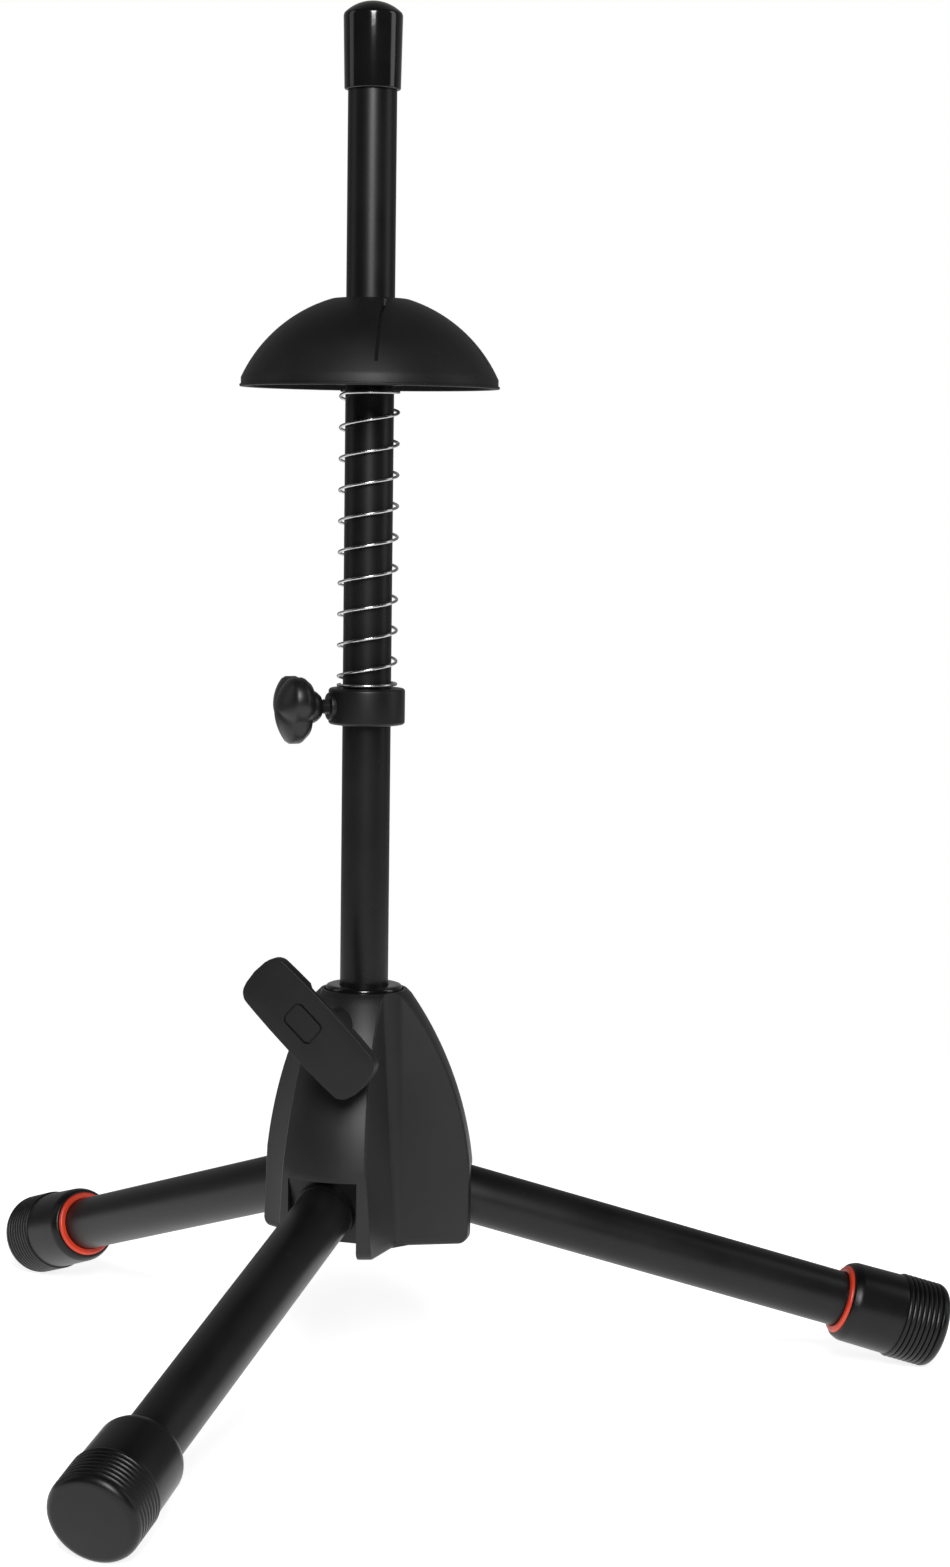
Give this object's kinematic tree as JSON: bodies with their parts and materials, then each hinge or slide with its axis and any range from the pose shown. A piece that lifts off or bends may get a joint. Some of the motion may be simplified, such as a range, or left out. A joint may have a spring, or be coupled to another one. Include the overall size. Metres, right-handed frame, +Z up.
{
  "type": "trumpet stand",
  "caption": "Folding tripod stand for a trumpet: slim black mast with a sprung rubber dome for the bell, a sliding collar and a lobed leg housing.",
  "frame": {"origin": "on the floor, on the mast's axis, in the plane of the three feet's contact flats", "axes": "+Z up along the mast; the clamped lobe and its leg point along -Y, the other legs lie 120 degrees either side"},
  "size_m": [0.3642, 0.3185, 0.4583],
  "materials": {
    "powder_coat": "satin black powder coat",
    "cap_vinyl": "glossy dip-moulded vinyl",
    "housing_plastic": "fine-grained matte black moulding",
    "ring_plastic": "polished black moulding",
    "fitting_plastic": "smooth black glass-filled nylon",
    "handle_plastic": "fine-grained matte black moulding",
    "collar_plastic": "smooth black nylon",
    "knob_plastic": "satin black moulding",
    "black_nylon": "plain black nylon",
    "dome_rubber": "matte black rubber",
    "foot_rubber": "matte black rubber, ribbed grip",
    "red_plastic": "satin red-orange moulding",
    "spring_steel": "bright drawn spring wire",
    "black_steel": "black oxide thread",
    "zinc_steel": "zinc plated",
    "brass": "machined brass"
  },
  "bodies": {
    "hub": {"housing": "housing_plastic", "base_cover": "housing_plastic", "cover_screws": "zinc_steel", "top_bush": "ring_plastic", "lower_bush": "black_nylon", "clamp_insert": "brass", "front_pivot_pin": "zinc_steel", "right_pivot_pin": "zinc_steel", "left_pivot_pin": "zinc_steel"},
    "mast": {"mast_tube": "powder_coat", "mast_cap": "cap_vinyl", "mast_plug": "black_nylon"},
    "collar": {"collar": "collar_plastic", "collar_insert": "brass", "spring": "spring_steel"},
    "dome": {"bell_dome": "dome_rubber"},
    "collar_pad": {"collar_pad": "black_nylon"},
    "thumb_screw": {"collar_screw": "black_steel", "collar_knob": "knob_plastic"},
    "clamp_shoe": {"clamp_shoe": "black_nylon"},
    "mast_clamp": {"clamp_screw": "black_steel", "clamp_handle": "handle_plastic"},
    "front_leg": {"front_leg_fitting": "fitting_plastic", "front_leg_tube": "powder_coat", "front_foot": "foot_rubber", "front_foot_ring": "red_plastic"},
    "right_leg": {"right_leg_fitting": "fitting_plastic", "right_leg_tube": "powder_coat", "right_foot": "foot_rubber", "right_foot_ring": "red_plastic"},
    "left_leg": {"left_leg_fitting": "fitting_plastic", "left_leg_tube": "powder_coat", "left_foot": "foot_rubber", "left_foot_ring": "red_plastic"}
  },
  "joints": [
    {"name": "mast_slide", "type": "slide", "parent": "hub", "child": "mast", "axis": [0, 0, 1], "range_m": [-0.045, 0.03]},
    {"name": "collar_slide", "type": "slide", "parent": "mast", "child": "collar", "axis": [0, 0, 1], "range_m": [-0.04, 0.06]},
    {"name": "dome_slide", "type": "slide", "parent": "collar", "child": "dome", "axis": [0, 0, 1], "range_m": [-0.075, 0], "stiffness_N_per_m": 155, "springref_m": 0.004, "deforming": ["spring"]},
    {"name": "clamp_advance", "type": "slide", "parent": "hub", "child": "clamp_shoe", "axis": [0, -1, 0], "range_m": [0, 0.002]},
    {"name": "clamp_turn", "type": "hinge", "parent": "clamp_shoe", "child": "mast_clamp", "pos_m": [0, -0.0444, 0.12672], "axis": [0, -1, 0], "range_deg": [0, 720]},
    {"name": "thumb_advance", "type": "slide", "parent": "collar", "child": "collar_pad", "axis": [-0.766, -0.6428, 0], "range_m": [0, 0.0016]},
    {"name": "thumb_turn", "type": "hinge", "parent": "collar_pad", "child": "thumb_screw", "pos_m": [-0.02413, -0.02025, 0.22932], "axis": [-0.766, -0.6428, 0], "range_deg": [0, 720]},
    {"name": "front_leg_fold", "type": "hinge", "parent": "hub", "child": "front_leg", "pos_m": [0, -0.022, 0.06908], "axis": [1, 0, 0], "range_deg": [0, 72.74]},
    {"name": "right_leg_fold", "type": "hinge", "parent": "hub", "child": "right_leg", "pos_m": [0.01905, 0.011, 0.06908], "axis": [-0.5, 0.866, 0], "range_deg": [0, 72.74]},
    {"name": "left_leg_fold", "type": "hinge", "parent": "hub", "child": "left_leg", "pos_m": [-0.01905, 0.011, 0.06908], "axis": [-0.5, -0.866, 0], "range_deg": [0, 72.74]}
  ],
  "couplings": [
    {"joint": "clamp_advance", "follows": "clamp_turn", "m_per_rad": 0.00015915},
    {"joint": "thumb_advance", "follows": "thumb_turn", "m_per_rad": 0.00012732}
  ]
}
